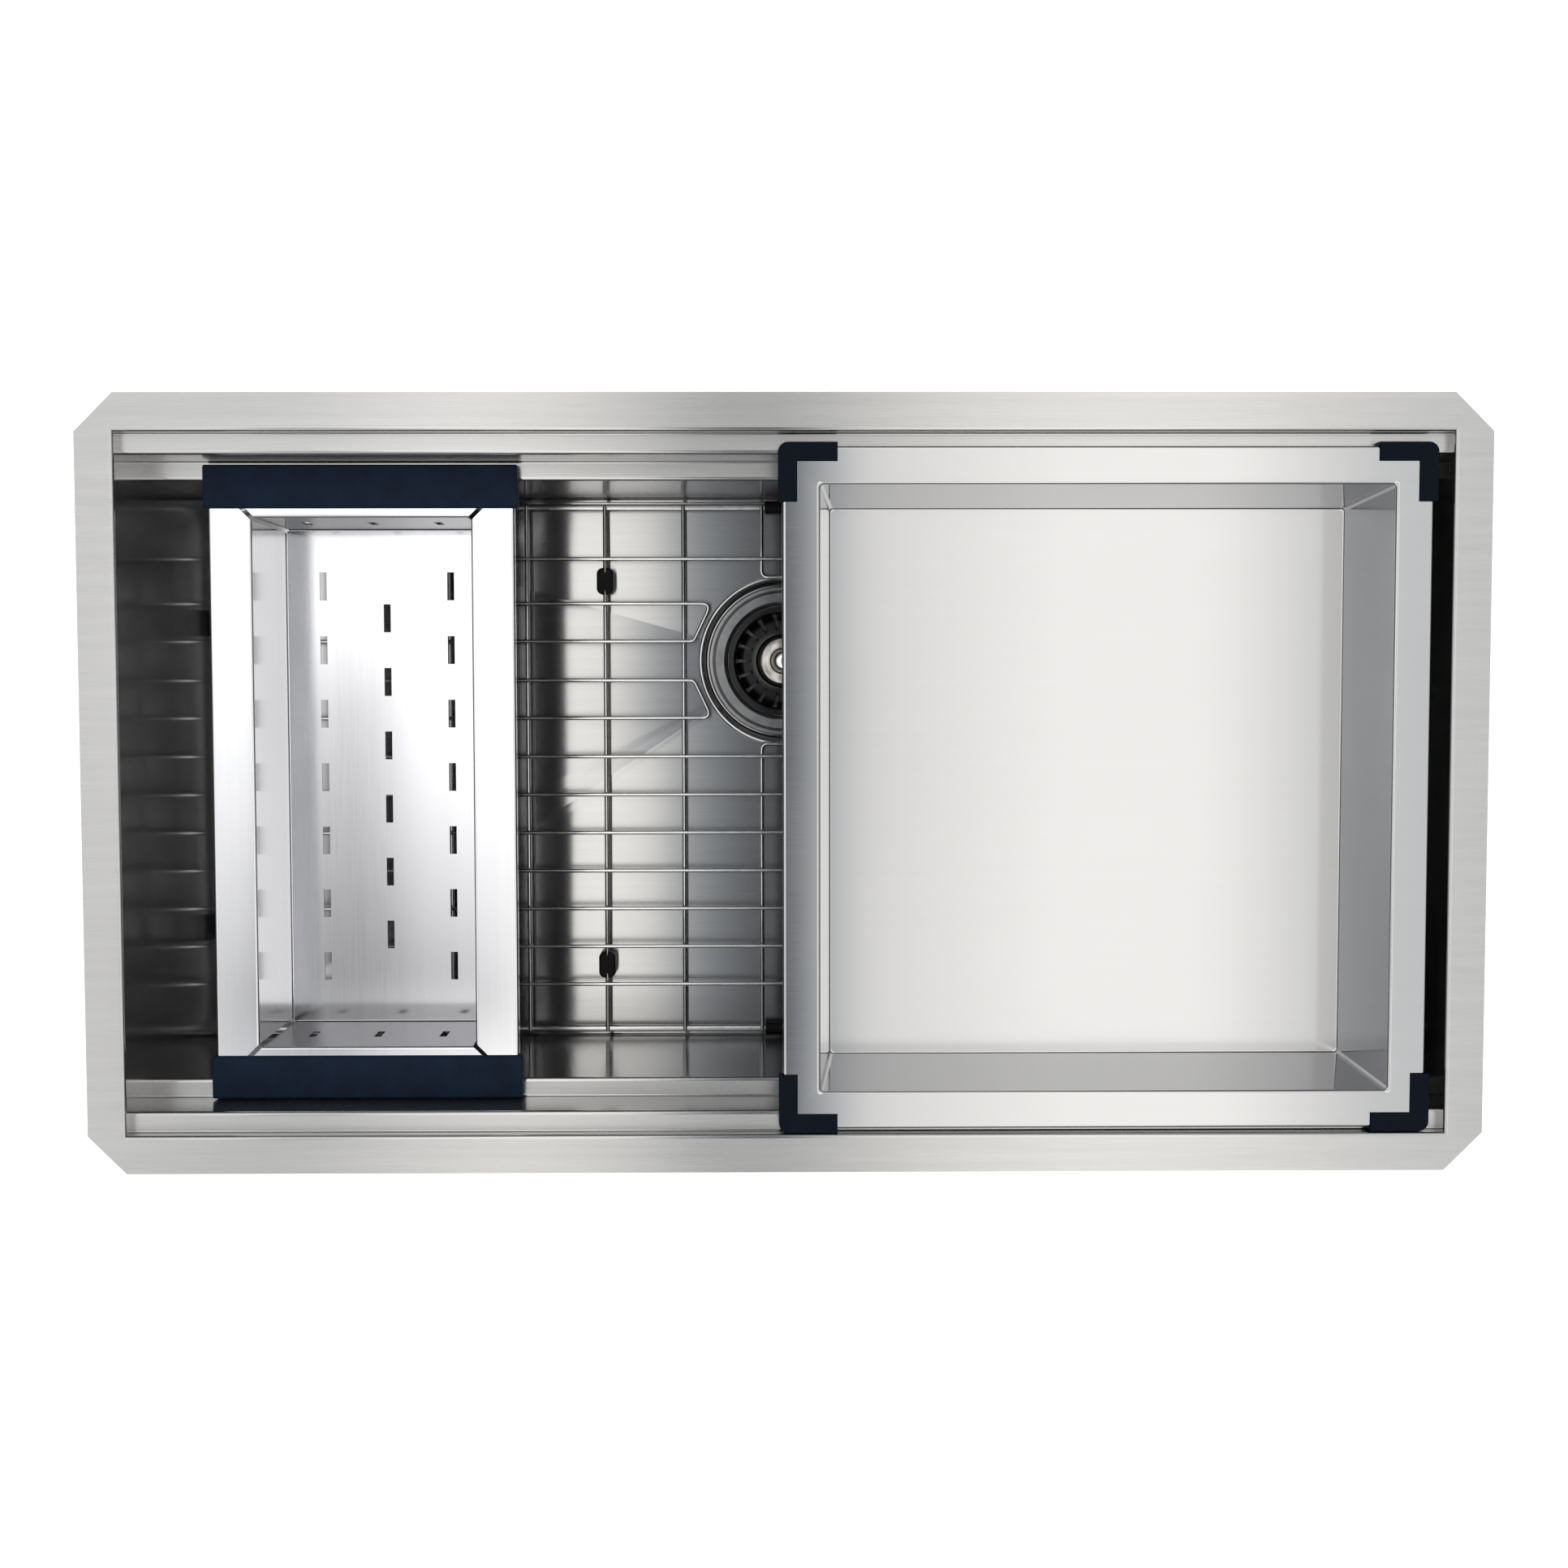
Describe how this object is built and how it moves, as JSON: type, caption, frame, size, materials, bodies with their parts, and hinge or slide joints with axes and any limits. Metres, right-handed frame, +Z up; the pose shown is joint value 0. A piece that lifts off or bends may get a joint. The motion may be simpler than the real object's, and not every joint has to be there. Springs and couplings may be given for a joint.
{
  "type": "workstation kitchen sink",
  "caption": "Two-tier undermount workstation sink of folded steel with basket strainer, bottom grid, slotted colander and deep tray that slide along its ledges.",
  "frame": {"origin": "centre of the opening, on the flange's top face, which is the worktop's underside", "axes": "+X to the right along the long walls, +Y to the rear wall where the drain is nearer, +Z up"},
  "size_m": [0.9136, 0.5072, 0.4248],
  "materials": {
    "brushed_sheet": "satin brushed",
    "polished_steel": "polished",
    "grid_wire": "bright wire",
    "strainer_steel": "warm satin",
    "silicone": "matt dark navy",
    "black_rubber": "matt black",
    "sound_pad": "dull grey",
    "putty": "dull",
    "fibre": "matt fibre",
    "white_plastic": "matt white"
  },
  "bodies": {
    "sink": {"rear_wall_panel": "brushed_sheet", "front_wall_panel": "brushed_sheet", "right_end_panel": "brushed_sheet", "left_end_panel": "brushed_sheet", "floor_pan": "brushed_sheet", "left_floor_pad": "sound_pad", "right_floor_pad": "sound_pad", "front_floor_pad": "sound_pad", "rear_wall_pad": "sound_pad", "front_wall_pad": "sound_pad", "right_wall_pad": "sound_pad", "left_wall_pad": "sound_pad", "strainer_body": "strainer_steel", "flange_putty_ring": "putty", "drain_rubber_washer": "black_rubber", "drain_friction_ring": "fibre", "drain_lock_nut": "white_plastic", "tailpiece_washer": "white_plastic", "tailpiece": "polished_steel", "coupling_nut": "white_plastic"},
    "strainer_basket": {"basket_cup": "polished_steel", "basket_stopper": "black_rubber", "basket_post": "polished_steel", "basket_knob": "polished_steel"},
    "bottom_grid": {"grid_frame": "grid_wire", "grid_drain_ring": "grid_wire", "grid_long_wire_1": "grid_wire", "grid_long_wire_2": "grid_wire", "grid_long_wire_3": "grid_wire", "grid_long_wire_4": "grid_wire", "grid_long_wire_5": "grid_wire", "grid_long_wire_6": "grid_wire", "grid_long_wire_7": "grid_wire", "grid_long_wire_rear": "grid_wire", "grid_hairpin_rear_left": "grid_wire", "grid_hairpin_front_left": "grid_wire", "grid_hairpin_rear_right": "grid_wire", "grid_hairpin_front_right": "grid_wire", "grid_foot_rear_left": "black_rubber", "grid_foot_front_left": "black_rubber", "grid_foot_rear_right": "black_rubber", "grid_foot_front_right": "black_rubber", "grid_bumper_left_rear": "black_rubber", "grid_bumper_left_front": "black_rubber", "grid_bumper_right_rear": "black_rubber", "grid_bumper_right_front": "black_rubber", "grid_bumper_rear": "black_rubber", "grid_bumper_front": "black_rubber"},
    "colander": {"colander_pan": "brushed_sheet", "colander_grip_rear": "silicone", "colander_grip_front": "silicone"},
    "tray": {"tray_pan": "brushed_sheet", "tray_guard_rear_left": "silicone", "tray_guard_front_left": "silicone", "tray_guard_rear_right": "silicone", "tray_guard_front_right": "silicone"}
  },
  "joints": [
    {"name": "colander_slide", "type": "slide", "parent": "sink", "child": "colander", "axis": [1, 0, 0], "range_m": [-0.042, 0.1]},
    {"name": "tray_slide", "type": "slide", "parent": "sink", "child": "tray", "axis": [1, 0, 0], "range_m": [-0.1, 0.009]},
    {"name": "grid_lift", "type": "slide", "parent": "sink", "child": "bottom_grid", "axis": [0, 0, 1], "range_m": [0, 0.06]},
    {"name": "basket_lift", "type": "slide", "parent": "sink", "child": "strainer_basket", "axis": [0, 0, 1], "range_m": [0, 0.055]}
  ]
}
